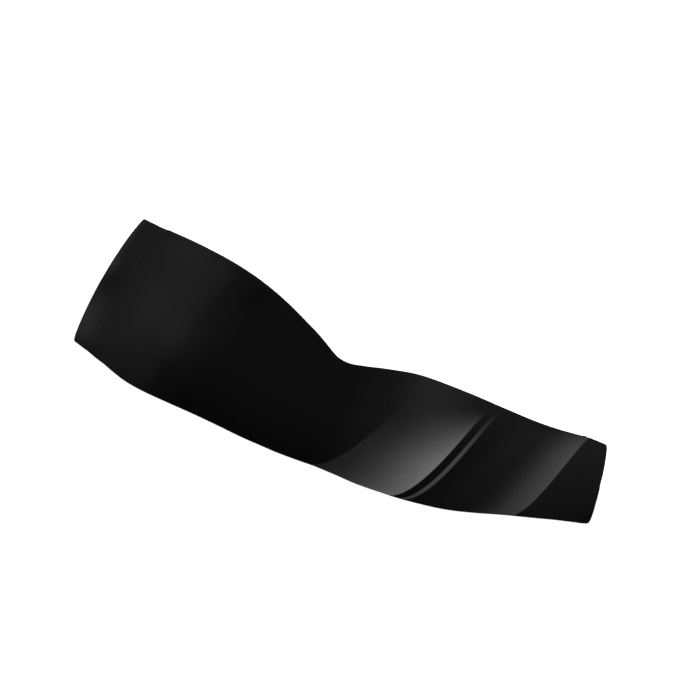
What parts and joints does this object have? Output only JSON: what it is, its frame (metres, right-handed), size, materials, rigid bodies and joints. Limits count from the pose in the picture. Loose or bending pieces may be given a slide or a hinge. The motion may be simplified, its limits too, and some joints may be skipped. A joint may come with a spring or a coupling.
{
  "type": "arm sleeve",
  "caption": "Close-fitting tapered knit arm sleeve in the form of a slightly bent arm, open at the bicep and the wrist, with a turned and stitched hem at each mouth.",
  "frame": {"origin": "the middle of the sleeve's hollow at the elbow, where the arm sits", "axes": "+X to the wrist, along the line from the middle of the bicep mouth to the middle of the wrist mouth; +Z to the biceps and the inner elbow; +Y across the arm, to the side with the back seam"},
  "size_m": [0.4234, 0.1106, 0.1276],
  "materials": {
    "sleeve_knit": "matt black stretch knit, fading between black and charcoal, with slanted tonal panels on the forearm and a plain dark grey inside",
    "hem_knit": "the same matt black stretch knit, turned in double and stitched",
    "thread": "black textured polyester sewing thread"
  },
  "bodies": {
    "root": {"sleeve_body": "sleeve_knit", "bicep_hem": "hem_knit", "wrist_hem": "hem_knit"}
  },
  "joints": []
}
